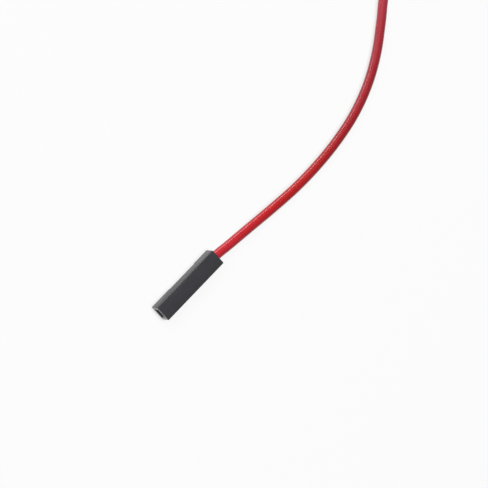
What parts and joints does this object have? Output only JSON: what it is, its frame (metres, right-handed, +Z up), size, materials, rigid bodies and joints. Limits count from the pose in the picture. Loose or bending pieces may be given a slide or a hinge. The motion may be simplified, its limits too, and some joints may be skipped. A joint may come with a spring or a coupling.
{
  "type": "breadboard jumper wire",
  "caption": "Red stranded breadboard jumper wire with a black one-way 2.54 mm crimp socket housing on each end, its spare length coiled and held with a twist tie.",
  "frame": {"origin": "bottom centre of the near housing, on the ground under the middle of its length and width", "axes": "+X along the near housing from its mouth to where the wire comes out, +Z up, +Y to the side that the coil lies on"},
  "size_m": [0.0934, 0.0174, 0.0036],
  "materials": {
    "housing_black": "satin moulded nylon",
    "terminal_tin": "bright tin plate",
    "strand_copper": "bright bare copper",
    "wire_red": "satin PVC",
    "tie_black": "satin PVC"
  },
  "bodies": {
    "root": {"near_housing": "housing_black", "near_terminal": "terminal_tin", "near_strand_1": "strand_copper", "near_strand_2": "strand_copper", "near_strand_3": "strand_copper", "near_strand_4": "strand_copper", "near_strand_5": "strand_copper", "near_strand_6": "strand_copper", "near_strand_7": "strand_copper", "far_housing": "housing_black", "far_terminal": "terminal_tin", "far_strand_1": "strand_copper", "far_strand_2": "strand_copper", "far_strand_3": "strand_copper", "far_strand_4": "strand_copper", "far_strand_5": "strand_copper", "far_strand_6": "strand_copper", "far_strand_7": "strand_copper", "wire_run": "wire_red", "wire_coil": "wire_red", "wire_tail": "wire_red", "coil_tie": "tie_black"}
  },
  "joints": []
}
